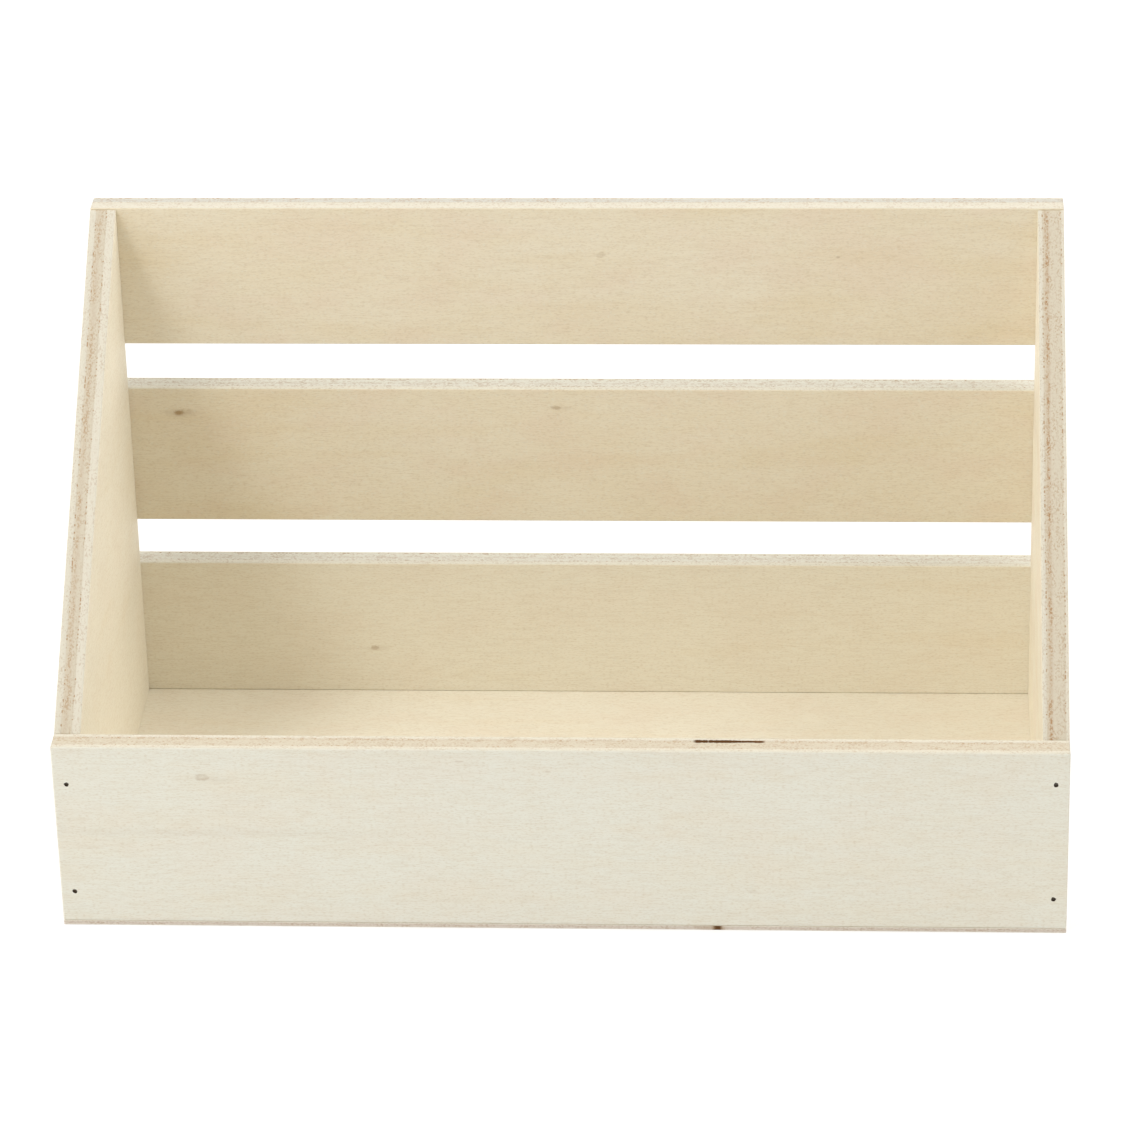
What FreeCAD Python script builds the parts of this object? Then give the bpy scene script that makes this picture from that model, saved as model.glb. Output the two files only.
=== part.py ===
"""Table-top brochure rack of birch plywood, as a parametric document.

A front panel, two sloping sides, three back slats with open gaps between them and a thin
bottom sheet, butted together and held by brads. +Z is up, the front panel faces -Y and the
origin is at the centre of the footprint, on the surface that the rack stands on.
"""
import FreeCAD, Part
import os

import Sketcher

SHEET = "Sizes"

# Driving dimensions in millimetres: alias -> (value, what it is).
DIMENSIONS = {
    "rack_width": (300, "overall width, the length of the front panel and of each slat"),
    "rack_depth": (150, "overall depth, front face to back face"),
    "ply": (8, "thickness of the plywood boards"),
    "sheet_ply": (1.5, "thickness of the plywood bottom sheet"),
    "panel_rise": (60, "height of the front panel itself"),
    "slat_rise": (46.5, "height of one back slat"),
    "slat_gap": (15.5, "open gap between two back slats"),
    "brad_shank": (1.2, "diameter of a brad's shank"),
    "brad_head": (1.8, "diameter of a brad's head"),
    "head_thick": (0.7, "thickness of a brad's head"),
    "brad_run": (20, "length of a brad through the boards, head included"),
    "brad_set": (0.5, "how far a head is punched below the board's face"),
    "sheet_head": (0.5, "thickness of the head of a brad under the sheet"),
    "sheet_run": (12, "length of a brad under the sheet, head included"),
    "sheet_set": (0.2, "how far a head is punched into the sheet's underside"),
    "left_drop": (12.8, "upper left front brad, below the panel's top edge"),
    "right_drop": (10.6, "upper right front brad, below the panel's top edge"),
    "front_climb": (10.2, "lower front brads, above the panel's bottom edge"),
    "slat_inset": (14, "slat brads, in from the slat's top and bottom edges"),
    "arris": (0.5, "rounding of the top edges that a hand meets"),
}

# Expressions that more than one piece uses.
SIDE_RUN = "(Sizes.rack_depth - 2 * Sizes.ply)"
BACK_RISE = "(3 * Sizes.slat_rise + 2 * Sizes.slat_gap)"
SLAT_PITCH = "(Sizes.slat_rise + Sizes.slat_gap)"
LEFT_LINE = "Sizes.ply / 2"
RIGHT_LINE = "(Sizes.rack_width - Sizes.ply / 2)"
LEFT_FACE = "-Sizes.rack_width / 2"
FRONT_FACE = "-Sizes.rack_depth / 2"

# Heights of the brads above the bottom sheet, per joint.
FRONT_HEIGHTS = {
    "left": ["Sizes.front_climb", "Sizes.panel_rise - Sizes.left_drop"],
    "right": ["Sizes.front_climb", "Sizes.panel_rise - Sizes.right_drop"],
}
SLAT_HEIGHTS = ["Sizes.slat_inset", "Sizes.slat_rise - Sizes.slat_inset"]
BRAD_LINES = {"left": LEFT_LINE, "right": RIGHT_LINE}
SLAT_ORDER = {"lower_slat": 0, "middle_slat": 1, "top_slat": 2}

# A brad's set below the face, its head's thickness and its whole length.
BOARD_BRAD = ("Sizes.brad_set", "Sizes.head_thick", "Sizes.brad_run")
SHEET_BRAD = ("Sizes.sheet_set", "Sizes.sheet_head", "Sizes.sheet_run")

# Brads under the bottom sheet, along the width and along the depth.
SHEET_ACROSS = [f"Sizes.rack_width * {share}" for share in ("1 / 6", "1 / 2", "5 / 6")]
SHEET_ALONG = [f"Sizes.rack_depth * {share}" for share in ("1 / 3", "2 / 3")]


def fill_sheet(doc):
    """Write the driving dimensions into the spreadsheet, one aliased row each."""
    sheet = doc.addObject("Spreadsheet::Sheet", SHEET)
    for row, (alias, (value, meaning)) in enumerate(DIMENSIONS.items(), start=1):
        sheet.set(f"A{row}", alias)
        sheet.set(f"B{row}", str(value))
        sheet.set(f"C{row}", meaning)
        sheet.setAlias(f"B{row}", alias)
    doc.recompute()
    return sheet


def value_of(obj, expression):
    """The number that an expression has now, used to draw a sketch near its final size."""
    return float(obj.evalExpression(expression))


def new_body(doc, label, place):
    """An empty body, placed by three expressions."""
    body = doc.addObject("PartDesign::Body", label)
    body.Label = label
    for axis, expression in zip("xyz", place):
        body.setExpression(f"Placement.Base.{axis}", expression)
    return body


def new_sketch(body, name, role, offset=None):
    """A sketch on one of the body's own origin planes, moved along its normal by offset."""
    sketch = body.newObject("Sketcher::SketchObject", name)
    plane = next(item for item in body.Origin.OriginFeatures if item.Role == role)
    sketch.AttachmentSupport = (plane, [""])
    sketch.MapMode = "FlatFace"
    if offset:
        sketch.setExpression("AttachmentOffset.Base.z", offset)
    return sketch


def pin_point(sketch, geometry, vertex, place):
    """Hold a sketch point at two expressions, on an axis where the expression is zero."""
    for axis, (kind, expression) in enumerate(zip(("DistanceX", "DistanceY"), place)):
        if expression == "0":
            other_axis = -2 if axis == 0 else -1
            sketch.addConstraint(Sketcher.Constraint("PointOnObject", geometry, vertex, other_axis))
            continue
        start = value_of(sketch, expression)
        index = sketch.addConstraint(
            Sketcher.Constraint(kind, -1, 1, geometry, vertex, start))
        sketch.setExpression(f"Constraints[{index}]", expression)


def outline(body, name, role, corners):
    """A closed polygon whose corners are pairs of expressions."""
    sketch = new_sketch(body, name, role)
    points = [FreeCAD.Vector(value_of(sketch, x), value_of(sketch, y), 0) for x, y in corners]
    for index, point in enumerate(points):
        following = points[(index + 1) % len(points)]
        sketch.addGeometry(Part.LineSegment(point, following), False)
    for index in range(len(points)):
        following = (index + 1) % len(points)
        sketch.addConstraint(Sketcher.Constraint("Coincident", index, 2, following, 1))
    for index, corner in enumerate(corners):
        pin_point(sketch, index, 1, corner)
    return sketch


def circles(body, name, role, diameter, centres, offset=None):
    """One circle at each centre, all of one bound diameter."""
    sketch = new_sketch(body, name, role, offset)
    radius = value_of(sketch, diameter) / 2
    for index, (x, y) in enumerate(centres):
        centre = FreeCAD.Vector(value_of(sketch, x), value_of(sketch, y), 0)
        normal = FreeCAD.Vector(0, 0, 1)
        sketch.addGeometry(Part.Circle(centre, normal, radius), False)
        pin_point(sketch, index, 3, (x, y))
        bound = sketch.addConstraint(Sketcher.Constraint("Diameter", index, 2 * radius))
        sketch.setExpression(f"Constraints[{bound}]", diameter)
    return sketch


def pad(body, name, sketch, length, backwards=False):
    """Pad a sketch along its normal, or against it."""
    feature = body.newObject("PartDesign::Pad", name)
    feature.Profile = sketch
    feature.Reversed = backwards
    feature.setExpression("Length", length)
    body.Document.recompute()
    return feature


def pocket(body, name, sketch, length, along_normal=False):
    """Cut a sketch into the body and insist that material came off."""
    before = body.Shape.Volume
    feature = body.newObject("PartDesign::Pocket", name)
    feature.Profile = sketch
    feature.Reversed = along_normal
    feature.setExpression("Length", length)
    body.Document.recompute()
    if not body.Shape.Volume < before:
        raise RuntimeError(f"{body.Label}: {name} removed nothing")
    return feature


def ease_top(body):
    """Round the two long top arrises of a board, as sandpaper leaves them."""
    board = body.Tip
    top = board.Shape.BoundBox.ZMax
    edges = [f"Edge{index}" for index, edge in enumerate(board.Shape.Edges, start=1)
             if all(abs(corner.Z - top) < 1e-6 for corner in edge.Vertexes)
             and abs(edge.tangentAt(edge.FirstParameter).x) > 0.99]
    feature = body.newObject("PartDesign::Fillet", "Arrises")
    feature.Base = (board, edges)
    feature.setExpression("Radius", "Sizes.arris")
    body.Document.recompute()
    return feature


def pairs(first, second):
    """Every combination of two lists of expressions."""
    return [(one, other) for one in first for other in second]


def front_centres():
    """The four brads of the front panel, in the panel's own X and Z."""
    return [(BRAD_LINES[hand], rise) for hand in BRAD_LINES for rise in FRONT_HEIGHTS[hand]]


def rectangle(width, height):
    """The corners of a rectangle that starts at the origin."""
    return [("0", "0"), (width, "0"), (width, height), ("0", height)]


def front_panel(doc):
    """The low front board, lapped over the front ends of both sides."""
    body = new_body(doc, "front_panel", (LEFT_FACE, FRONT_FACE, "Sizes.sheet_ply"))
    corners = rectangle("Sizes.rack_width", "Sizes.panel_rise")
    pad(body, "PanelBoard", outline(body, "PanelOutline", "XZ_Plane", corners), "Sizes.ply", True)
    ease_top(body)
    shanks = circles(body, "PanelShanks", "XZ_Plane", "Sizes.brad_shank", front_centres())
    pocket(body, "PanelShankHoles", shanks, "Sizes.ply")
    heads = circles(body, "PanelHeads", "XZ_Plane", "Sizes.brad_head", front_centres())
    pocket(body, "PanelHeadHoles", heads, "Sizes.brad_set + Sizes.head_thick")
    drill_from_below(body, "Panel", pairs(SHEET_ACROSS, ["Sizes.ply / 2"]))
    return body


def drill_from_below(body, name, centres):
    """Blind holes in a board's bottom edge for the brads that hold the bottom sheet."""
    sketch = circles(body, f"{name}Underside", "XY_Plane", "Sizes.brad_shank", centres)
    depth = "Sizes.sheet_set + Sizes.sheet_run - Sizes.sheet_ply"
    return pocket(body, f"{name}UndersideHoles", sketch, depth, True)


def side_board(doc, hand):
    """One side: a board with a vertical front end, a sloping top edge and a vertical back."""
    left_end = {"left": LEFT_FACE, "right": "Sizes.rack_width / 2 - Sizes.ply"}[hand]
    behind_panel = f"{FRONT_FACE} + Sizes.ply"
    body = new_body(doc, f"{hand}_side", (left_end, behind_panel, "Sizes.sheet_ply"))
    corners = [("0", "0"), (SIDE_RUN, "0"), (SIDE_RUN, BACK_RISE), ("0", "Sizes.panel_rise")]
    pad(body, "SideBoard", outline(body, "SideOutline", "YZ_Plane", corners), "Sizes.ply")

    centreline = ["Sizes.ply / 2"]
    reach = "Sizes.brad_set + Sizes.brad_run - Sizes.ply"
    front = circles(body, "FrontEnd", "XZ_Plane", "Sizes.brad_shank",
                    pairs(centreline, FRONT_HEIGHTS[hand]))
    pocket(body, "FrontEndHoles", front, reach)
    rear_heights = [f"{SLAT_PITCH} * {step} + {rise}"
                    for step in SLAT_ORDER.values() for rise in SLAT_HEIGHTS]
    rear = circles(body, "RearEnd", "XZ_Plane", "Sizes.brad_shank",
                   pairs(centreline, rear_heights), f"-{SIDE_RUN}")
    pocket(body, "RearEndHoles", rear, reach, True)
    drill_from_below(body, "Side", pairs(centreline, [f"{y} - Sizes.ply" for y in SHEET_ALONG]))
    return body


def back_slat(doc, label):
    """One of the three equal slats, lapped over the rear ends of both sides."""
    rise = f"Sizes.sheet_ply + {SLAT_PITCH} * {SLAT_ORDER[label]}"
    body = new_body(doc, label, (LEFT_FACE, "Sizes.rack_depth / 2 - Sizes.ply", rise))
    corners = rectangle("Sizes.rack_width", "Sizes.slat_rise")
    pad(body, "SlatBoard", outline(body, "SlatOutline", "XZ_Plane", corners), "Sizes.ply", True)
    ease_top(body)
    centres = pairs(BRAD_LINES.values(), SLAT_HEIGHTS)
    shanks = circles(body, "SlatShanks", "XZ_Plane", "Sizes.brad_shank", centres)
    pocket(body, "SlatShankHoles", shanks, "Sizes.ply")
    heads = circles(body, "SlatHeads", "XZ_Plane", "Sizes.brad_head", centres, "-Sizes.ply")
    pocket(body, "SlatHeadHoles", heads, "Sizes.brad_set + Sizes.head_thick", True)
    if SLAT_ORDER[label] == 0:
        drill_from_below(body, "Slat", pairs(SHEET_ACROSS, ["Sizes.ply / 2"]))
    return body


def sheet_centres():
    """The brads under the bottom sheet, per board that they run up into."""
    far_edge = "Sizes.rack_depth - Sizes.ply / 2"
    return {
        "front": pairs(SHEET_ACROSS, ["Sizes.ply / 2"]),
        "rear": pairs(SHEET_ACROSS, [far_edge]),
        "left": pairs([LEFT_LINE], SHEET_ALONG),
        "right": pairs([RIGHT_LINE], SHEET_ALONG),
    }


def bottom_sheet(doc):
    """The thin sheet under all four walls, over the whole footprint."""
    body = new_body(doc, "bottom_sheet", (LEFT_FACE, FRONT_FACE, "0"))
    corners = rectangle("Sizes.rack_width", "Sizes.rack_depth")
    pad(body, "Sheet", outline(body, "SheetOutline", "XY_Plane", corners), "Sizes.sheet_ply")
    centres = [centre for group in sheet_centres().values() for centre in group]
    shanks = circles(body, "SheetShanks", "XY_Plane", "Sizes.brad_shank", centres)
    pocket(body, "SheetShankHoles", shanks, "Sizes.sheet_ply", True)
    heads = circles(body, "SheetHeads", "XY_Plane", "Sizes.brad_head", centres)
    pocket(body, "SheetHeadHoles", heads, "Sizes.sheet_set + Sizes.sheet_head", True)
    return body


def brads(doc, label, place, role, centres, sizes, side):
    """A group of like brads: heads below a face, then shanks that go on from the heads.

    sizes names how deep a head is set, how thick it is and how long a brad is. side is the
    way that the brads run along the sketch plane's normal, 1 with it and -1 against it.
    """
    body = new_body(doc, label, place)
    body.AllowCompound = True
    sunk, thick, run = sizes
    heads = circles(body, "Heads", role, "Sizes.brad_head", centres, f"{side} * {sunk}")
    pad(body, "HeadPads", heads, thick, side < 0)
    neck = f"{side} * ({sunk} + {thick})"
    shanks = circles(body, "Shanks", role, "Sizes.brad_shank", centres, neck)
    pad(body, "ShankPads", shanks, f"{run} - {thick}", side < 0)
    return body


def front_brads(doc, hand):
    """Two brads through the front panel into the front end of a side."""
    place = (LEFT_FACE, FRONT_FACE, "Sizes.sheet_ply")
    centres = pairs([BRAD_LINES[hand]], FRONT_HEIGHTS[hand])
    return brads(doc, f"front_{hand}_brads", place, "XZ_Plane", centres, BOARD_BRAD, -1)


def slat_brads(doc, slat, hand):
    """Two brads through the end of a slat into the rear end of a side."""
    rise = f"Sizes.sheet_ply + {SLAT_PITCH} * {SLAT_ORDER[slat]}"
    place = (LEFT_FACE, "Sizes.rack_depth / 2", rise)
    centres = pairs([BRAD_LINES[hand]], SLAT_HEIGHTS)
    return brads(doc, f"{slat}_{hand}_brads", place, "XZ_Plane", centres, BOARD_BRAD, 1)


def sheet_brads(doc, edge):
    """The brads up through the bottom sheet into one board."""
    place = (LEFT_FACE, FRONT_FACE, "0")
    centres = sheet_centres()[edge]
    return brads(doc, f"sheet_{edge}_brads", place, "XY_Plane", centres, SHEET_BRAD, 1)


def check(doc, pieces):
    """Stop unless every object recomputed and every piece is a sound solid."""
    doc.recompute()
    for item in doc.Objects:
        if {"Invalid", "Error"} & set(item.State):
            raise RuntimeError(f"{item.Label} did not recompute: {item.State}")
    for piece in pieces:
        shape = piece.Shape
        if shape.isNull() or not shape.isValid() or shape.Volume <= 0:
            raise RuntimeError(f"{piece.Label} has no sound shape")
        print(f"{piece.Label}: {len(shape.Solids)} solid(s), {shape.Volume:.1f} mm3")


def main():
    doc = FreeCAD.newDocument("BrochureRack")
    fill_sheet(doc)
    pieces = [front_panel(doc), side_board(doc, "left"), side_board(doc, "right")]
    pieces += [back_slat(doc, label) for label in SLAT_ORDER]
    pieces += [bottom_sheet(doc)]
    pieces += [front_brads(doc, hand) for hand in BRAD_LINES]
    pieces += [slat_brads(doc, slat, hand) for slat in SLAT_ORDER for hand in BRAD_LINES]
    pieces += [sheet_brads(doc, edge) for edge in sheet_centres()]
    check(doc, pieces)
    os.makedirs("parts", exist_ok=True)
    for piece in pieces:
        piece.Shape.exportStep(os.path.join("parts", f"{piece.Label}.step"))


main()
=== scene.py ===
import math
from dataclasses import dataclass, field

import bmesh
import bpy
from bpy.props import FloatProperty, FloatVectorProperty, PointerProperty, StringProperty
from mathutils import Euler, Matrix, Vector, noise


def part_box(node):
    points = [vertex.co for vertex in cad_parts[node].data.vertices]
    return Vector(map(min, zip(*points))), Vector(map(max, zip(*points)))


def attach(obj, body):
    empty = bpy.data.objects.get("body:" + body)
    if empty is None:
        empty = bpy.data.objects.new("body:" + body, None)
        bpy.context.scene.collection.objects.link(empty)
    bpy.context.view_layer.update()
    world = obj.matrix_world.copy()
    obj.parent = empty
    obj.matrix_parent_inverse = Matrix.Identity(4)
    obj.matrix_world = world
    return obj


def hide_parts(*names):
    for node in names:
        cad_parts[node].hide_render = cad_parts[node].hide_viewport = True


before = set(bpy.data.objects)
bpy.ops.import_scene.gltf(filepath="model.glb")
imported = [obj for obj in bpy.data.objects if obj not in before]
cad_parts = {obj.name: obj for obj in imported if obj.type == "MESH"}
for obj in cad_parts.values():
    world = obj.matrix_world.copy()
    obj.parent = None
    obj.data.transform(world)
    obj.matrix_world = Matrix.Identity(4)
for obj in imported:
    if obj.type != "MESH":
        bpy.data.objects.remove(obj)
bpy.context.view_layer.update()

bl_info = {
    "name": "Plywood Brochure Rack",
    "version": (1, 0, 0),
    "blender": (4, 5, 0),
    "location": "View3D > Sidebar > Rack",
    "description": "Dresses the rack's boards and brads and sets up a soft pale studio",
    "category": "Object",
}

MM = 0.001
ROOT = "root"
PUNCHED = "punched_wood_fibre"
X, Y, Z = 0, 1, 2

# Counts of the meshes: steps round a corner, bends and rows across an edge, sides of a punch.
CORNER_STEPS = 4
ARRIS_BENDS = 4
CORE_ROWS = 7
PUNCH_SIDES = 14

# Past any board, so a pattern of this size in millimetres doesn't change across it.
ENDLESS = 400

# Each softbox: its name, its side in metres and the direction from the aim to it.
SOFTBOXES = (
    ("key", 0.62, (-0.503, -0.498, 0.707)),
    ("left", 1.5, (-0.85, -0.2, 0.5)),
    ("top", 1.8, (0.0, -0.15, 1.0)),
    ("right", 1.5, (0.75, 0.0, 0.75)),
    ("back", 1.5, (0.0, 0.7, 0.8)),
)
# The surroundings are warm, as pale wood makes them. These are linear values.
FILL_COLOUR = (1.0, 0.90, 0.74, 1)


# ---------------------------------------------------------------- boards

@dataclass
class Knot:
    """A mark on a face, in millimetres along and across the grain from the low corner.

    blur softens its rim, and hollow leaves its middle pale, so that only a ring shows.
    """
    along: float
    across: float
    length: float
    width: float
    depth: float
    blur: float = 0.35
    hollow: float = 0.0


@dataclass
class Void:
    """A gap left at a glue line, seen in the top edge of a board, in millimetres along it. The
    gap is recessed in the mesh, and painted shade darkens it in the bark colour.
    """
    start: float
    end: float
    glue_line: int
    recess: float


@dataclass
class Board:
    """How one board lies and how its layers run.

    The grain, the other direction of the face and the thickness are axes. near and far are the
    shares of the thickness in the two face veneers. streak is where the core is darkest, and
    coarse is how far its end grain has opened. tone warms a face, and rosy is the strength of
    its clouds. core and rim colour the cut core and the cut face veneers; on the slats they also
    hold painted light, paler where a top edge lies in the shade of the slat above and darker on
    the fully lit top slat.
    """
    node: str
    along: int
    across: int
    through: int
    seed: int
    near: float
    far: float
    streak: float
    coarse: float
    tone: float = 0.0
    rosy: float = 0.36
    core: str = "C8C0AE"
    rim: str = "D1CCBD"
    knots: list = field(default_factory=list)
    voids: list = field(default_factory=list)
    edge_knots: list = field(default_factory=list)


FRONT = Board("front_panel", X, Z, Y, 11, 0.23, 0.27, 0.73, 0.35, 0.0, 0.12,
              knots=[Knot(44.5, 50.0, 3.6, 2.2, 0.30, 0.45, 0.5),
                     Knot(47.5, 49.2, 7.0, 1.2, 0.10, 0.8),
                     Knot(207.0, 12.0, 3.0, 1.2, 0.12, 0.6),
                     Knot(48.0, 31.0, 95.0, 2.6, 0.07, 0.9), Knot(121.0, 56.0, 3.0, 0.5, 0.25),
                     Knot(147.0, 52.7, 1.4, 0.5, 0.25)],
              voids=[Void(190.0, 210.5, 1, 1.6)])
SIDES = [
    Board("left_side", Y, Z, X, 23, 0.26, 0.34, 0.40, 0.5, -0.25, 0.12),
    Board("right_side", Y, Z, X, 37, 0.17, 0.14, 0.32, 1.0, 0.0),
]
# The middle and lower slats' cut edges are painted paler (core DAD8CC, rim DCD8C9) as painted
# light on top edges that lie in the shade of the slat above. The top slat's core C4C4BC is
# painted darker for its fully lit top edge. The lower slat's paler tone is partly its own wood
# and partly painted light from the tray's floor.
SLATS = [
    Board("lower_slat", X, Z, Y, 41, 0.28, 0.14, 0.55, 0.25, -0.25, 0.15, "DAD8CC", "DCD8C9",
          knots=[Knot(82.0, 15.8, 2.4, 1.5, 0.42), Knot(83.0, 15.6, 7.0, 1.6, 0.12, 0.8)]),
    Board("middle_slat", X, Z, Y, 59, 0.28, 0.12, 0.52, 0.25, 0.3, 0.36, "DAD8CC", "DCD8C9",
          knots=[Knot(23.4, 37.9, 2.9, 1.5, 0.62, 0.55), Knot(24.0, 38.0, 8.0, 2.2, 0.34, 0.8),
                 Knot(142.7, 40.0, 2.8, 1.3, 0.42), Knot(144.0, 40.0, 7.0, 1.4, 0.12, 0.8)]),
    Board("top_slat", X, Z, Y, 67, 0.58, 0.10, 0.74, 0.25, 0.38, 0.36, "C4C4BC",
          knots=[Knot(157.8, 30.7, 3.0, 1.8, 0.24, 0.4, 0.4), Knot(231.0, 30.0, 1.3, 0.8, 0.4)]),
]
SHEET = Board("bottom_sheet", X, Y, Z, 83, 0.25, 0.25, 0.5, 0.4, -0.2, 0.2, "DAD0C4", "DDD6CA",
              edge_knots=[Knot(196.6, 0.0, 2.4, 1.5, 0.8, 0.9),
                          Knot(194.6, 0.0, 7.0, 1.5, 0.34, 0.9)])


def hex_colour(text):
    """Turn an sRGB hex value such as E4DBC2 into linear red, green, blue and alpha."""
    values = [int(text[index:index + 2], 16) / 255 for index in (0, 2, 4)]
    linear = [v / 12.92 if v <= 0.04045 else ((v + 0.055) / 1.055) ** 2.4 for v in values]
    return (*linear, 1.0)


def colour_property(name, text, description):
    """A string property that holds an sRGB hex colour."""
    return StringProperty(name=name, default=text, description=description)


class RackPlywoodSettings(bpy.types.PropertyGroup):
    """Sizes and colours of the plywood."""
    arris: FloatProperty(
        name="Arris", default=0.42 * MM, unit="LENGTH", description="Radius of a sanded edge")
    glue_groove: FloatProperty(
        name="Glue groove", default=0.07 * MM, unit="LENGTH",
        description="How far the glue line lies below the cut edge")
    core_roughness: FloatProperty(
        name="Core roughness", default=0.09 * MM, unit="LENGTH",
        description="Height of the torn core fibres in a cut edge")
    edge_step: FloatProperty(
        name="Edge step", default=1.2 * MM, unit="LENGTH",
        description="Spacing of the vertices along a cut edge")
    front_pale: colour_property("Front veneer", "E7E6DA", "The clean veneer kept for the front")
    face_pale: colour_property("Pale veneer", "EDE7D6", "The palest veneer elsewhere")
    face_warm: colour_property("Warm veneer", "E4D6B8", "The warmer bands of the veneer")
    face_rose: colour_property("Rose veneer", "E6D5C0", "Faint rosy clouds in the veneer")
    face_fleck: colour_property("Fleck", "BFA983", "Short pores and rays in the veneer")
    knot: colour_property("Knot", "9C7B4C", "Pin knots and their halo")
    core_dark: colour_property("Core grain", "A07A50", "Open end grain and glue in the core")
    # The bark colour is a knot's own dark middle and also the painted shade in a gap at a glue
    # line.
    bark_and_gap_shade: colour_property("Bark", "5E3D1E", "A knot or a gap in a cut edge")


class RackBradSettings(bpy.types.PropertyGroup):
    """Sizes and colours of the brads and of the holes that they are punched into."""
    punch_radius: FloatProperty(
        name="Punch radius", default=0.74 * MM, unit="LENGTH", description="Mouth of a hole")
    punch_depth: FloatProperty(
        name="Punch depth", default=1.25 * MM, unit="LENGTH", description="Depth of a hole")
    steel: colour_property("Steel", "5B554D", "Dull drawn wire")
    bloom: colour_property("Bloom", "5A4330", "Brown bloom on the wire")
    hole: colour_property("Bruised wood", "5A4630", "Crushed fibres round a brad")
    # The deep colour is painted shade in a hole, over the crushed wood's own brown.
    hole_shade: colour_property("Deep in a hole", "2E2418", "Crushed fibres in shade")


class RackStageSettings(bpy.types.PropertyGroup):
    """The camera, the lights and the floor."""
    azimuth: FloatProperty(
        name="Azimuth", default=math.radians(-3.90), subtype="ANGLE",
        description="Camera direction, from straight at the front")
    elevation: FloatProperty(
        name="Elevation", default=math.radians(27.85), subtype="ANGLE",
        description="Camera height above the horizon")
    roll: FloatProperty(
        name="Roll", default=math.radians(1.57), subtype="ANGLE", description="Camera tilt")
    distance: FloatProperty(
        name="Distance", default=1.5796, unit="LENGTH", description="Camera to aim")
    aim: FloatVectorProperty(
        name="Aim", default=(-0.0022, 0.0, 0.0843), subtype="TRANSLATION",
        description="Point that the camera looks at")
    lens: FloatProperty(name="Lens", default=166.4, description="Focal length in millimetres")
    key_power: FloatProperty(
        name="Key", default=12.5, unit="POWER", description="Key light, high at the front left")
    left_power: FloatProperty(
        name="Left", default=16.8, unit="POWER", description="Softbox at the left")
    top_power: FloatProperty(
        name="Top", default=5.5, unit="POWER", description="Softbox overhead")
    right_power: FloatProperty(
        name="Right", default=25.0, unit="POWER", description="Softbox high at the right")
    back_power: FloatProperty(
        name="Back", default=16.0, unit="POWER", description="Softbox behind")
    light_distance: FloatProperty(
        name="Light distance", default=2.0, unit="LENGTH", description="From the aim to a light")
    fill_strength: FloatProperty(name="Fill", default=0.3, description="Warm surroundings")
    floor: colour_property("Floor", "A0A0A0", "The floor under its own glow")
    floor_glow: FloatProperty(name="Floor glow", default=0.66, description="Glow of the floor")


# ---------------------------------------------------------------- materials

def add(tree, kind, *values, **settings):
    """Add a node with its properties set, and set or link its inputs.

    The values go to the inputs that are in use, in their order, and a dict goes to inputs by
    name. A value that is a node stands for the first of its outputs that is in use.
    """
    made = tree.nodes.new("ShaderNode" + kind)
    for key, value in settings.items():
        setattr(made, key, value)
    used = [socket for socket in made.inputs if socket.enabled]
    pairs = []
    for place, value in enumerate(values):
        named = value if isinstance(value, dict) else {used[place].identifier: value}
        pairs += named.items()
    for key, value in pairs:
        socket = next(item for item in used if key in (item.identifier, item.name))
        if isinstance(value, bpy.types.Node):
            value = next(output for output in value.outputs if output.enabled)
        if isinstance(value, bpy.types.NodeSocket):
            tree.links.new(value, socket)
        else:
            socket.default_value = value
    return made


def new_material(name):
    """An empty node material and its tree."""
    material = bpy.data.materials.new(name)
    material.use_nodes = True
    material.node_tree.nodes.clear()
    return material, material.node_tree


def grain_space(tree, board):
    """Millimetres along, across and through the board, from its low corner."""
    low = Vector(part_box(board.node)[0])
    place = add(tree, "TexCoord").outputs["Object"]
    local = add(tree, "VectorMath", place, low, operation="SUBTRACT")
    scaled = add(tree, "VectorMath", local, 1 / MM, operation="SCALE")
    parts = add(tree, "SeparateXYZ", scaled).outputs
    return add(tree, "CombineXYZ", parts[board.along], parts[board.across], parts[board.through])


def blobs(tree, place, size, seed, detail=2.0, roughness=0.5):
    """Noise whose blobs have the given size in millimetres along each grain axis."""
    shrink = [1 / side for side in size]
    offset = (seed * 7.3, seed * 3.1, seed * 1.7)
    shrunk = add(tree, "VectorMath", place, shrink, offset, operation="MULTIPLY_ADD")
    return add(tree, "TexNoise", shrunk, 1.0, detail, roughness)


def knot_depth(tree, place, knots):
    """How deep each point lies in a mark, 1 at a dark centre, as one sum over the marks."""
    # The rims waver over about 1 mm. The waver adds 0.55 on average, so a rim at 1 is at 1.55.
    waver = blobs(tree, place, (1.1, 1.1, 1.1), 5, 2.0, 0.6)
    rim = 1.55
    total = 0.0
    for knot in knots:
        centred = add(tree, "VectorMath", place, (knot.along, knot.across, 0),
                      operation="SUBTRACT")
        scaled = add(tree, "VectorMath", centred, (2 / knot.length, 2 / knot.width, 0),
                     operation="MULTIPLY")
        reach = add(tree, "VectorMath", scaled, operation="LENGTH")
        reach = add(tree, "Math", waver, 1.1, reach, operation="MULTIPLY_ADD")
        near = add(tree, "MapRange", reach, rim + knot.blur, rim - knot.blur, 0.0, knot.depth,
                   interpolation_type="SMOOTHSTEP")
        total = add(tree, "Math", near, total, operation="ADD", use_clamp=True)
        if knot.hollow:
            # Such a mark is pale out to between 0.3 and 0.7 of its reach.
            middle = add(tree, "MapRange", reach, 1.25, 0.85, 0.0, knot.hollow * knot.depth,
                         interpolation_type="SMOOTHSTEP")
            total = add(tree, "Math", total, middle, operation="SUBTRACT", use_clamp=True)
    return total


def part_round_knots(tree, place, depth):
    """Push the grain across where a knot is deep, so that it parts round the knot."""
    push = add(tree, "Math", depth, 1.6, operation="MULTIPLY")
    return add(tree, "VectorMath", place, add(tree, "CombineXYZ", 0.0, push), operation="ADD")


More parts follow.
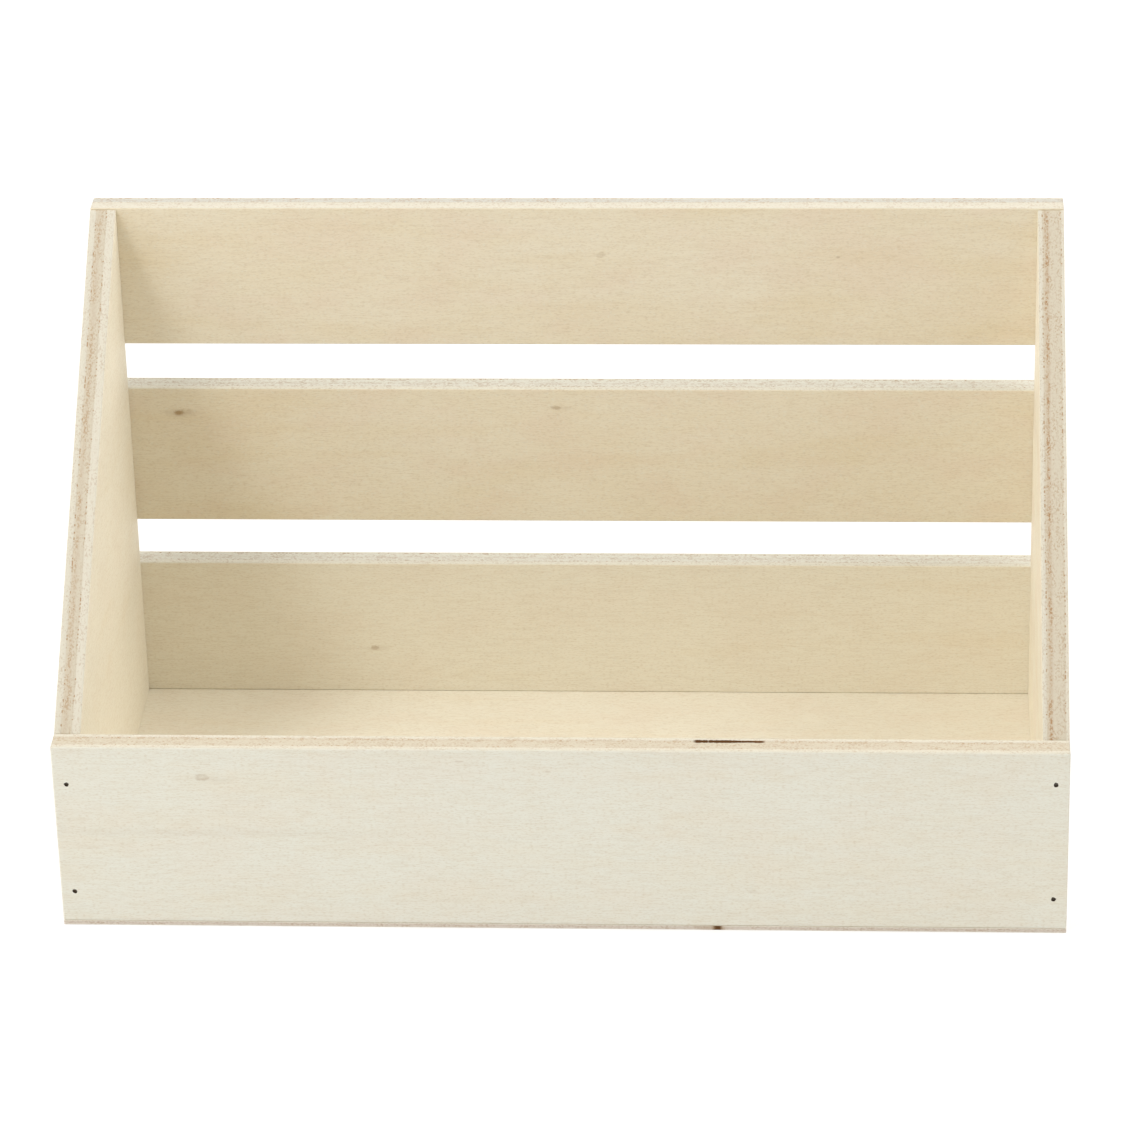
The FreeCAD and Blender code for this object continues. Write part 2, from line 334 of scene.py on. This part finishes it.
def veneer_material(wood, board):
    """Rotary-cut birch veneer, sanded and left bare.

    It is pale and nearly even, with soft long bands, fine fibre and short thin flecks, and it
    stays matt because nothing seals it.
    """
    material, tree = new_material(f"sanded_birch_veneer_{board.node}")
    place = grain_space(tree, board)
    # The cleanest veneer goes to the front.
    clean = board is FRONT
    depth = knot_depth(tree, place, board.knots)
    if board.knots:
        place = part_round_knots(tree, place, depth)

    # Bands of early and late wood come out about 60 mm long and 8 mm wide.
    bands = blobs(tree, place, (60, 8, 8), board.seed, 2.0)
    # Sanding leaves the light and dark wood mottled over 3 to 7 mm.
    mottle = blobs(tree, place, (6, 3.5, 3.5), board.seed + 9, 2.0, 0.6)
    # Heartwood tints the sheet over a hand's breadth.
    clouds = blobs(tree, place, (60, 35, 35), board.seed + 4, 1.0)
    # Fibre is under 0.1 mm wide, drawn at 0.5 mm so that it shows.
    fibre = blobs(tree, place, (5, 0.5, 0.5), board.seed + 1, 3.0)
    # Pores and rays are 1 to 2 mm long and a tenth of that wide, drawn at 0.35 mm.
    flecks = blobs(tree, place, (1.1, 0.36, 0.36), board.seed + 2, 1.5)
    # Torn fibre lifts in pale specks under 1 mm.
    nap = blobs(tree, place, (0.9, 0.7, 0.7), board.seed + 10, 1.0)
    # The lathe knife leaves faint marks across the grain, about 2 mm apart.
    chatter = blobs(tree, place, (1.8, 14, 14), board.seed + 3, 1.0)

    band_share = add(tree, "MapRange", bands, 0.46, 0.72, 0.0, 0.12 if clean else 0.24,
                     interpolation_type="SMOOTHSTEP")
    cloud_share = add(tree, "MapRange", clouds, 0.35, 0.68, 0.0, 0.08 if clean else 0.2,
                      interpolation_type="SMOOTHSTEP")
    warmth = add(tree, "Math", band_share, cloud_share, operation="ADD")
    warmth = add(tree, "Math", mottle, 0.34, warmth, operation="MULTIPLY_ADD")
    warmth = add(tree, "Math", warmth, board.tone - 0.17, operation="ADD", use_clamp=True)
    fibre_share = add(tree, "MapRange", fibre, 0.40, 0.75, 0.0, 0.15,
                      interpolation_type="SMOOTHSTEP")
    fleck_share = add(tree, "MapRange", flecks, 0.50, 0.70, 0.0, 0.24,
                      interpolation_type="SMOOTHSTEP")
    nap_share = add(tree, "MapRange", nap, 0.56, 0.74, 0.0, 0.30, interpolation_type="SMOOTHSTEP")
    rose = blobs(tree, place, (26, 16, 16), board.seed + 11, 3.0, 0.6)
    rose_share = add(tree, "MapRange", rose, 0.44, 0.66, 0.0, board.rosy,
                     interpolation_type="SMOOTHSTEP")
    stain = add(tree, "Math", depth, 0.85, operation="MULTIPLY")
    colour = hex_colour(wood.front_pale if clean else wood.face_pale)
    for share, text in ((warmth, wood.face_warm), (rose_share, wood.face_rose),
                        (fibre_share, wood.face_fleck), (fleck_share, wood.face_fleck),
                        (nap_share, wood.front_pale), (stain, wood.knot)):
        colour = add(tree, "Mix", share, colour, hex_colour(text), data_type="RGBA")

    height = add(tree, "Math", flecks, -0.6, fibre, operation="MULTIPLY_ADD")
    height = add(tree, "Math", chatter, 0.5, height, operation="MULTIPLY_ADD")
    bump = add(tree, "Bump", {"Strength": 0.35, "Distance": 0.06 * MM, "Height": height})
    matt = add(tree, "MapRange", fibre, 0.0, 1.0, 0.60, 0.78)
    shader = add(tree, "BsdfPrincipled", {
        "Base Color": colour, "Roughness": matt, "IOR": 1.5, "Specular IOR Level": 0.35,
        "Normal": bump})
    add(tree, "OutputMaterial", shader)
    return material


def edge_material(wood, board):
    """The sawn edge of three-ply: pale face veneers, brown glue lines and an open core.

    The core's end grain shows as specks, and the saw leaves fine marks across the edge.
    """
    material, tree = new_material(f"sawn_ply_edge_{board.node}")
    place = grain_space(tree, board)
    low, high = (Vector(corner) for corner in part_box(board.node))
    thickness, rise = (high - low)[board.through] / MM, (high - low)[board.across] / MM
    parts = add(tree, "SeparateXYZ", place).outputs
    along, through = parts[0], parts[2]

    # The layers wander by a few hundredths of the thickness over about 25 mm.
    wander = blobs(tree, place, (26, 26, ENDLESS), board.seed + 5, 3.0, 0.6)
    drift = add(tree, "MapRange", wander, 0.0, 1.0, -0.05, 0.05)
    level = add(tree, "Math", through, 1 / thickness, drift, operation="MULTIPLY_ADD")
    in_core, on_glue, painted_gap_shade = 1.0, 0.0, 0.0
    for number, share, inward in ((0, board.near, 1), (1, 1 - board.far, -1)):
        past = add(tree, "Math", level, share, operation="SUBTRACT")
        past = add(tree, "Math", past, inward, operation="MULTIPLY")
        inside = add(tree, "MapRange", past, -0.02, 0.02, interpolation_type="SMOOTHSTEP")
        in_core = add(tree, "Math", inside, in_core, operation="MULTIPLY")
        off_glue = add(tree, "Math", past, operation="ABSOLUTE")
        line = add(tree, "MapRange", off_glue, 0.045, 0.0, interpolation_type="SMOOTHSTEP")
        on_glue = add(tree, "Math", line, on_glue, operation="MAXIMUM")
        for void in board.voids:
            if void.glue_line == number:
                middle = ((void.start + void.end) / 2, rise, 0)
                from_middle = add(tree, "VectorMath", place, middle, operation="SUBTRACT")
                reach = (2 / (void.end - void.start), 0.5, 0)
                from_middle = add(tree, "VectorMath", from_middle, reach, operation="MULTIPLY")
                from_middle = add(tree, "VectorMath", from_middle, operation="LENGTH")
                # The gap narrows along the board, and painted shade darkens it a little past its
                # ragged rim.
                off_gap = add(tree, "Math", through, 1 / thickness, -share,
                              operation="MULTIPLY_ADD")
                off_gap = add(tree, "Math", off_gap, operation="ABSOLUTE")
                half = add(tree, "MapRange", along, void.start, void.end, 0.12, 0.07)
                ragged = blobs(tree, place, (0.9, ENDLESS, ENDLESS), board.seed + 14, 2.0)
                ragged = add(tree, "MapRange", ragged, 0.25, 0.75, 0.72, 1.28)
                half = add(tree, "Math", half, ragged, operation="MULTIPLY")
                shade_half = add(tree, "Math", half, 0.75, operation="MULTIPLY")
                gap_shade = add(tree, "MapRange", off_gap, half, shade_half)
                ends = add(tree, "MapRange", from_middle, 1.05, 0.95)
                gap_shade = add(tree, "Math", gap_shade, ends, operation="MULTIPLY")
                painted_gap_shade = add(tree, "Math", gap_shade, painted_gap_shade, operation="MAXIMUM")
    off_streak = add(tree, "Math", level, board.streak, operation="SUBTRACT")
    off_streak = add(tree, "Math", off_streak, operation="ABSOLUTE")
    on_streak = add(tree, "MapRange", off_streak, 0.14, 0.02, interpolation_type="SMOOTHSTEP")

    # Specks of end grain are 0.3 to 0.7 mm and bunch along the late wood.
    speck = blobs(tree, place, (0.75, 0.75, 0.5), board.seed + 6, 2.0, 0.65)
    cluster = blobs(tree, place, (5, 5, 1.4), board.seed + 7, 2.0)
    patch = add(tree, "MapRange", cluster, 0.36, 0.60, 0.25, 1.0, interpolation_type="SMOOTHSTEP")
    dark = 0.0
    for layer, low_edge, high_edge, share in (
            (1.0, 0.50, 0.62, 0.34), (in_core, 0.47, 0.60, 0.42),
            (on_streak, 0.42, 0.58, 0.30 + 0.42 * board.coarse)):
        open_grain = add(tree, "MapRange", speck, low_edge, high_edge, 0.0, share,
                         interpolation_type="SMOOTHSTEP")
        open_grain = add(tree, "Math", open_grain, layer, operation="MULTIPLY")
        dark = add(tree, "Math", open_grain, dark, operation="MAXIMUM")
    dark = add(tree, "Math", dark, patch, operation="MULTIPLY")
    # Resin beads out of the glue lines in dots about 0.5 mm across.
    dots = blobs(tree, place, (0.9, 0.9, 2.0), board.seed + 12, 1.0)
    beads = blobs(tree, place, (11, 11, 40), board.seed + 13, 2.0)
    beads = add(tree, "Math", beads, 0.30, dots, operation="MULTIPLY_ADD")
    beads = add(tree, "MapRange", beads, 0.70, 0.80, 0.10, 0.90, interpolation_type="SMOOTHSTEP")
    beads = add(tree, "Math", beads, on_glue, operation="MULTIPLY")
    dark = add(tree, "Math", dark, beads, operation="MAXIMUM")
    even = add(tree, "Math", on_streak, 0.20 * board.coarse, operation="MULTIPLY")
    dark = add(tree, "Math", dark, even, operation="ADD", use_clamp=True)

    # A knot is dark only in its middle, in a halo of stained wood.
    stain = knot_depth(tree, place, board.edge_knots)
    middle = add(tree, "MapRange", stain, 0.30, 1.10, interpolation_type="SMOOTHSTEP")
    colour = hex_colour(board.rim)
    # The gap mask paints shade into a gap at a glue line in the bark colour; a knot's middle
    # takes that colour as its own.
    for share, text in ((in_core, board.core), (dark, wood.core_dark), (painted_gap_shade, wood.bark_and_gap_shade),
                        (stain, wood.knot), (middle, wood.bark_and_gap_shade)):
        colour = add(tree, "Mix", share, colour, hex_colour(text), data_type="RGBA")

    # Saw teeth leave lines across the thickness, 0.8 mm apart.
    marks = blobs(tree, place, (0.8, 0.8, 30), board.seed + 8, 1.0)
    height = add(tree, "Math", marks, speck, operation="SUBTRACT")
    bump = add(tree, "Bump", {"Strength": 0.5, "Distance": 0.12 * MM, "Height": height})
    shader = add(tree, "BsdfPrincipled", {
        "Base Color": colour, "Roughness": 0.82, "IOR": 1.5, "Specular IOR Level": 0.25,
        "Normal": bump})
    add(tree, "OutputMaterial", shader)
    return material


def bruised_and_shaded_wood_material(brad):
    """Wood crushed by a nail punch: the fibres are torn and quite matt, and dark partly from the
    crushing and partly from painted shade in the hole.
    """
    material, tree = new_material(PUNCHED)
    place = add(tree, "TexCoord").outputs["Object"]
    torn = add(tree, "TexNoise", place, 2500.0)
    # Crushed wood and painted shade are mixed at random over the walls of a hole.
    colour = add(tree, "Mix", torn, hex_colour(brad.hole), hex_colour(brad.hole_shade),
                 data_type="RGBA")
    shader = add(tree, "BsdfPrincipled", {"Base Color": colour, "Roughness": 0.9, "IOR": 1.5})
    add(tree, "OutputMaterial", shader)
    return material


def steel_material(brad):
    """Drawn mild-steel wire, cut and headed: dull grey with a faint brown bloom."""
    material, tree = new_material("drawn_steel_wire")
    place = add(tree, "TexCoord").outputs["Object"]
    bloom = add(tree, "TexNoise", place, 900.0, 3.0)
    share = add(tree, "MapRange", bloom, 0.45, 0.75, interpolation_type="SMOOTHSTEP")
    colour = add(tree, "Mix", share, hex_colour(brad.steel), hex_colour(brad.bloom),
                 data_type="RGBA")
    dull = add(tree, "MapRange", bloom, 0.0, 1.0, 0.38, 0.62)
    shader = add(tree, "BsdfPrincipled", {
        "Base Color": colour, "Metallic": 1.0, "Roughness": dull})
    add(tree, "OutputMaterial", shader)
    return material


# ---------------------------------------------------------------- board meshes

def outline_of(board):
    """The board's corners in metres along and across, counter-clockwise from its low corner."""
    low, high = (Vector(corner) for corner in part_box(board.node))
    size = high - low
    length, rise = size[board.along], size[board.across]
    if board in SIDES:
        front_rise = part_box(FRONT.node)[1][Z] - low.z
        return [Vector((0, 0)), Vector((length, 0)), Vector((length, rise)),
                Vector((0, front_rise))]
    return [Vector((0, 0)), Vector((length, 0)), Vector((length, rise)), Vector((0, rise))]


def rounded_loop(corners, radius, step):
    """Points and outward normals round a polygon with rounded corners."""
    loop = []
    count = len(corners)
    for index, corner in enumerate(corners):
        before, after = corners[index - 1], corners[(index + 1) % count]
        arriving, leaving = (corner - before).normalized(), (after - corner).normalized()
        turn = arriving.angle(leaving)
        cut = radius * math.tan(turn / 2)
        normal = Vector((arriving.y, -arriving.x))
        centre = corner - arriving * cut - normal * radius
        for stage in range(CORNER_STEPS + 1):
            swung = normal.copy()
            swung.rotate(Matrix.Rotation(turn * stage / CORNER_STEPS, 2))
            loop.append((centre + swung * radius, swung))
        next_turn = leaving.angle((corners[(index + 2) % count] - after).normalized())
        start = corner + leaving * cut
        end = after - leaving * radius * math.tan(next_turn / 2)
        outward = Vector((leaving.y, -leaving.x))
        steps = max(2, round((end - start).length / step))
        loop += [(start.lerp(end, stage / steps), outward) for stage in range(1, steps)]
    return loop


def gap_half(board, line, along):
    """Half the width of a gap at a glue line, or 0 where there is none.

    The gap is 1.24 mm wide at its start and 0.7 mm at its end, ragged, and closed at both ends.
    """
    for void in board.voids:
        reach = (along / MM - void.start) / (void.end - void.start)
        if void.glue_line == line and 0 < reach < 1:
            ragged = 1 + 0.5 * noise.noise(Vector((along * 900, board.seed, 0)))
            closing = min(1.0, 8 * min(reach, 1 - reach))
            return (0.62 - 0.27 * reach) * MM * ragged * closing
    return 0.0


def edge_profile(wood, board, thickness, arris, along):
    """Stations through the thickness as (place, inset, kind), from the low face to the high."""
    quarter = [math.pi / 2 * bend / ARRIS_BENDS for bend in range(ARRIS_BENDS + 1)]
    rounding = [(arris * (1 - math.cos(bend)), arris * (1 - math.sin(bend))) for bend in quarter]
    lip = min(0.14 * MM, thickness * 0.03)
    low_glue, high_glue = thickness * board.near, thickness * (1 - board.far)
    rims = [max(lip, gap_half(board, line, along)) for line in (0, 1)]
    core_low, core_high = low_glue + rims[0] - lip, high_glue - rims[1] + lip
    stations = [(place, inset, "arris") for place, inset in rounding]
    for line, (glue, rim) in enumerate(zip((low_glue, high_glue), rims)):
        outer, inner = ("veneer", "core") if line == 0 else ("core", "veneer")
        wall = rim - lip / 2
        stations += [(glue - rim, 0.0, outer), (glue - wall, wood.glue_groove, f"glue{line}"),
                     (glue + wall, wood.glue_groove, f"glue{line}"), (glue + rim, 0.0, inner)]
        if line == 0:
            rows = [row / (CORE_ROWS + 1) for row in range(1, CORE_ROWS + 1)]
            stations += [(core_low + (core_high - core_low) * row, 0.0, "core") for row in rows]
    return stations + [(thickness - place, inset, "arris") for place, inset in reversed(rounding)]


def station_inset(wood, board, along, kind, inset, seed_place):
    """How far a point of the edge lies inside the outline."""
    # Torn fibres rise and fall over 1.1 and 0.4 mm, and a sanded arris varies over 6 mm.
    tremble = noise.noise(seed_place * 900) + 0.5 * noise.noise(seed_place * 2300)
    if kind == "arris":
        return max(0.0, inset + 0.10 * inset * noise.noise(seed_place * 160))
    if kind == "veneer":
        return 0.015 * MM * (1 + tremble)
    if kind == "core":
        return wood.core_roughness * (0.5 + 0.45 * tremble)
    for void in board.voids:
        if void.glue_line == int(kind[-1]) and void.start < along / MM < void.end:
            reach = (along / MM - void.start) / (void.end - void.start)
            return void.recess * MM * math.sin(math.pi * min(1.0, 0.15 + reach)) ** 0.5
    return inset * (1 + 0.6 * tremble)


def board_mesh(wood, board):
    """A closed mesh of the board with sanded arrises and a layered, roughly sawn edge."""
    low, high = (Vector(corner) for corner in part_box(board.node))
    thickness = (high - low)[board.through]
    arris = min(wood.arris, thickness * min(board.near, board.far) * 0.5)
    loop = rounded_loop(outline_of(board), arris * 1.2, wood.edge_step)
    top = (high - low)[board.across]

    def placed(flat, through):
        spot = low.copy()
        spot[board.along] += flat.x
        spot[board.across] += flat.y
        spot[board.through] += through
        return spot

    mesh = bmesh.new()
    rows = []
    for flat, outward in loop:
        on_top = flat.y > top - 2 * arris
        along = flat.x if on_top else -1.0
        stations = edge_profile(wood, board, thickness, arris, along)
        row = []
        for through, inset, kind in stations:
            spot = placed(flat, through)
            sink = station_inset(wood, board, along, kind, inset,
                                 spot + Vector((board.seed, 0, 0)))
            row.append(mesh.verts.new(placed(flat - outward * sink, through)))
        rows.append(row)
    for index, row in enumerate(rows):
        following = rows[(index + 1) % len(rows)]
        for station in range(len(stations) - 1):
            strip = mesh.faces.new((row[station], following[station],
                                    following[station + 1], row[station + 1]))
            strip.smooth = True
            on_face = stations[station][2] == stations[station + 1][2] == "arris" \
                and max(stations[station][1], stations[station + 1][1]) > arris * 0.5
            strip.material_index = 0 if on_face else 1
    mesh.faces.new([row[0] for row in rows])
    mesh.faces.new([row[-1] for row in rows])
    bmesh.ops.recalc_face_normals(mesh, faces=mesh.faces)
    data = bpy.data.meshes.new(f"{board.node}_ply")
    mesh.to_mesh(data)
    mesh.free()
    return data


def new_piece(name, data, materials):
    """A scene object for a mesh, with its materials."""
    piece = bpy.data.objects.new(name, data)
    bpy.context.scene.collection.objects.link(piece)
    for material in materials:
        piece.data.materials.append(material)
    return piece


def brads_through(board):
    """Head centres and the outward axis of the brads whose heads lie in this board."""
    low, high = (Vector(corner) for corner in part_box(board.node))
    found = []
    for name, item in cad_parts.items():
        if "brads" not in name:
            continue
        for head, outward in brad_heads(item):
            inside = all(low[axis] - MM < head[axis] < high[axis] + MM for axis in range(3))
            if inside and abs(outward[board.through]) > 0.5:
                found.append((head, outward))
    return found


def brad_heads(item):
    """The outer face centre and the outward direction of each brad in a node."""
    mesh = bmesh.new()
    mesh.from_mesh(item.data)
    bmesh.ops.remove_doubles(mesh, verts=mesh.verts, dist=1e-7)
    remaining = set(mesh.verts)
    heads = []
    while remaining:
        stack = [remaining.pop()]
        island = list(stack)
        while stack:
            for edge in stack.pop().link_edges:
                for vert in edge.verts:
                    if vert in remaining:
                        remaining.remove(vert)
                        stack.append(vert)
                        island.append(vert)
        heads.append(head_of([vert.co.copy() for vert in island]))
    mesh.free()
    return heads


def head_of(points):
    """The wide end of one brad: its face centre and the way that it faces."""
    low = Vector([min(point[axis] for point in points) for axis in range(3)])
    high = Vector([max(point[axis] for point in points) for axis in range(3)])
    middle = (low + high) / 2
    run = max(range(3), key=lambda axis: (high - low)[axis])
    widths = {}
    for end in (low[run], high[run]):
        rim = [point - middle for point in points if abs(point[run] - end) < 0.01 * MM]
        for offset in rim:
            offset[run] = 0.0
        widths[end] = max(offset.length for offset in rim)
    centre, outward = middle.copy(), Vector()
    centre[run] = max(widths, key=widths.get)
    outward[run] = math.copysign(1.0, centre[run] - middle[run])
    return centre, outward


def punch_tool(brad, board, heads, thickness):
    """Slightly ragged tapered plugs that cut the holes over the brad heads."""
    mesh = bmesh.new()
    for number, (head, outward) in enumerate(heads):
        up = outward.to_track_quat("Z", "Y").to_matrix()
        rings = []
        deepest = min(brad.punch_depth, thickness * 0.62)
        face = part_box(board.node)[1 if outward[board.through] > 0 else 0][board.through]
        centre = head.copy()
        centre[board.through] = face
        # Each ring is a height above the face and a share of the mouth's radius.
        for level, widen in ((0.3 * MM, 1.14), (0.0, 1.0), (-0.25 * MM, 0.95), (-deepest, 0.93)):
            ring = []
            for side in range(PUNCH_SIDES):
                turn = 2 * math.pi * side / PUNCH_SIDES
                round_trip = Vector((math.cos(turn), math.sin(turn), number * 5.1 + board.seed))
                ragged = 1 + 0.32 * noise.noise(round_trip)
                radius = brad.punch_radius * widen * (ragged if level > -0.2 * MM else 1.0)
                flat = Vector((math.cos(turn) * radius, math.sin(turn) * radius, level))
                ring.append(mesh.verts.new(centre + up @ flat))
            rings.append(ring)
        for lower, upper in zip(rings, rings[1:]):
            for side in range(PUNCH_SIDES):
                after = (side + 1) % PUNCH_SIDES
                mesh.faces.new((lower[side], lower[after], upper[after], upper[side]))
        mesh.faces.new(rings[0])
        mesh.faces.new(rings[-1])
    bmesh.ops.recalc_face_normals(mesh, faces=mesh.faces)
    data = bpy.data.meshes.new("punches")
    mesh.to_mesh(data)
    mesh.free()
    return data


def cut_punches(piece, tool_data, bruised_and_shaded):
    """Subtract the punches from a board, keeping their walls, which are dark from crushing and
    from painted shade.
    """
    tool = new_piece("punch_tool", tool_data, [bruised_and_shaded])
    cut = piece.modifiers.new("punches", "BOOLEAN")
    cut.operation = "DIFFERENCE"
    cut.solver = "EXACT"
    cut.material_mode = "TRANSFER"
    cut.object = tool
    graph = bpy.context.evaluated_depsgraph_get()
    carved = bpy.data.meshes.new_from_object(piece.evaluated_get(graph))
    piece.modifiers.clear()
    if len(carved.polygons) <= len(piece.data.polygons):
        raise RuntimeError(f"{piece.name}: the punches cut nothing")
    piece.data = carved
    bpy.data.objects.remove(tool)


def make_board(context, board):
    """Build one board, dress it and put it in place of its plain solid."""
    wood, brad = context.scene.rack_plywood, context.scene.rack_brads
    bruised_and_shaded = bpy.data.materials.get(PUNCHED) or bruised_and_shaded_wood_material(brad)
    materials = [veneer_material(wood, board), edge_material(wood, board)]
    piece = new_piece(f"{board.node}_ply", board_mesh(wood, board), materials)
    heads = brads_through(board)
    if heads:
        low, high = (Vector(corner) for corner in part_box(board.node))
        tool = punch_tool(brad, board, heads, (high - low)[board.through])
        cut_punches(piece, tool, bruised_and_shaded)
    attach(piece, ROOT)
    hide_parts(board.node)
    return piece


# ---------------------------------------------------------------- operators

class RACK_OT_front_panel(bpy.types.Operator):
    """Make the front panel of three-ply, with its brad holes and the gap in its core"""
    bl_idname = "rack.front_panel"
    bl_label = "Front Panel"

    def execute(self, context):
        make_board(context, FRONT)
        return {"FINISHED"}


class RACK_OT_side_boards(bpy.types.Operator):
    """Make both sloping side boards"""
    bl_idname = "rack.side_boards"
    bl_label = "Side Boards"

    def execute(self, context):
        for board in SIDES:
            make_board(context, board)
        return {"FINISHED"}


class RACK_OT_back_slats(bpy.types.Operator):
    """Make the three slats of the back, with their brad holes"""
    bl_idname = "rack.back_slats"
    bl_label = "Back Slats"

    def execute(self, context):
        for board in SLATS:
            make_board(context, board)
        return {"FINISHED"}


class RACK_OT_bottom_sheet(bpy.types.Operator):
    """Make the thin sheet that is pinned under the walls"""
    bl_idname = "rack.bottom_sheet"
    bl_label = "Bottom Sheet"

    def execute(self, context):
        make_board(context, SHEET)
        return {"FINISHED"}


class RACK_OT_brads(bpy.types.Operator):
    """Give every brad its steel"""
    bl_idname = "rack.brads"
    bl_label = "Brads"

    def execute(self, context):
        steel = steel_material(context.scene.rack_brads)
        for name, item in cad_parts.items():
            if "brads" in name:
                for slot in item.material_slots:
                    slot.material = steel
        return {"FINISHED"}


class RACK_OT_stage(bpy.types.Operator):
    """Lay the pale floor and place the soft lights and the camera"""
    bl_idname = "rack.stage"
    bl_label = "Stage"

    def execute(self, context):
        stage = context.scene.rack_stage
        pale_floor(stage)
        soft_lights(context, stage)
        camera_on(context, stage)
        return {"FINISHED"}


def pale_floor(stage):
    """A wide pale floor that glows a little, so that shadows on it stay faint."""
    half = 6.0  # metres
    # It lies a hair below the rack, so that the two don't share a plane.
    low = -0.2 * MM
    corners = [(-half, -half, low), (half, -half, low), (half, half, low), (-half, half, low)]
    data = bpy.data.meshes.new("floor")
    data.from_pydata(corners, [], [(0, 1, 2, 3)])
    material, tree = new_material("pale_studio_floor")
    matt = add(tree, "BsdfPrincipled", {
        "Base Color": hex_colour(stage.floor), "Roughness": 0.9,
        "Emission Color": (1, 1, 1, 1), "Emission Strength": stage.floor_glow})
    add(tree, "OutputMaterial", matt)
    floor = new_piece("floor", data, [material])


def soft_lights(context, stage):
    """A key from the upper left of the front among large softboxes, in warm surroundings."""
    world = bpy.data.worlds.new("warm_studio")
    world.use_nodes = True
    background = world.node_tree.nodes["Background"]
    background.inputs["Color"].default_value = FILL_COLOUR
    background.inputs["Strength"].default_value = stage.fill_strength
    context.scene.world = world
    for name, size, towards in SOFTBOXES:
        light = bpy.data.lights.new(name, "AREA")
        light.energy = getattr(stage, f"{name}_power")
        light.size = size
        lamp = bpy.data.objects.new(name, light)
        context.scene.collection.objects.link(lamp)
        direction = Vector(towards).normalized()
        lamp.location = Vector(stage.aim) + direction * stage.light_distance
        lamp.rotation_euler = direction.to_track_quat("Z", "Y").to_euler()
        lamp.visible_camera = False
    context.scene.view_settings.view_transform = "Standard"


def camera_on(context, stage):
    """The camera, aimed at the middle of the rack from the front and above."""
    lens = bpy.data.cameras.new("camera")
    lens.lens = stage.lens
    lens.sensor_width = 36.0
    lens.clip_end = 50.0
    camera = bpy.data.objects.new("camera", lens)
    context.scene.collection.objects.link(camera)
    turn = Euler((math.pi / 2 - stage.elevation, 0, -stage.azimuth), "XYZ").to_matrix()
    tilt = Matrix.Rotation(-stage.roll, 3, "Z")
    rotation = turn @ tilt
    camera.location = Vector(stage.aim) + rotation @ Vector((0, 0, stage.distance))
    camera.rotation_euler = rotation.to_euler()
    context.scene.camera = camera


class RACK_PT_panel(bpy.types.Panel):
    """The rack's settings and the operators that build it"""
    bl_idname = "RACK_PT_panel"
    bl_label = "Brochure Rack"
    bl_space_type = "VIEW_3D"
    bl_region_type = "UI"
    bl_category = "Rack"

    def draw(self, context):
        for group in (context.scene.rack_plywood, context.scene.rack_brads,
                      context.scene.rack_stage):
            box = self.layout.box()
            for name in group.__annotations__:
                box.prop(group, name)
        for operator in OPERATORS:
            self.layout.operator(operator.bl_idname)


OPERATORS = (RACK_OT_front_panel, RACK_OT_side_boards, RACK_OT_back_slats,
             RACK_OT_bottom_sheet, RACK_OT_brads, RACK_OT_stage)
GROUPS = {"rack_plywood": RackPlywoodSettings, "rack_brads": RackBradSettings,
          "rack_stage": RackStageSettings}


def register():
    for group in GROUPS.values():
        bpy.utils.register_class(group)
    for operator in OPERATORS:
        bpy.utils.register_class(operator)
    bpy.utils.register_class(RACK_PT_panel)
    for name, group in GROUPS.items():
        setattr(bpy.types.Scene, name, PointerProperty(type=group))


def unregister():
    for name in GROUPS:
        delattr(bpy.types.Scene, name)
    bpy.utils.unregister_class(RACK_PT_panel)
    for operator in reversed(OPERATORS):
        bpy.utils.unregister_class(operator)
    for group in reversed(list(GROUPS.values())):
        bpy.utils.unregister_class(group)


def main():
    register()
    bpy.ops.rack.front_panel()
    bpy.ops.rack.side_boards()
    bpy.ops.rack.back_slats()
    bpy.ops.rack.bottom_sheet()
    bpy.ops.rack.brads()
    bpy.ops.rack.stage()


if __name__ == "__main__":
    main()
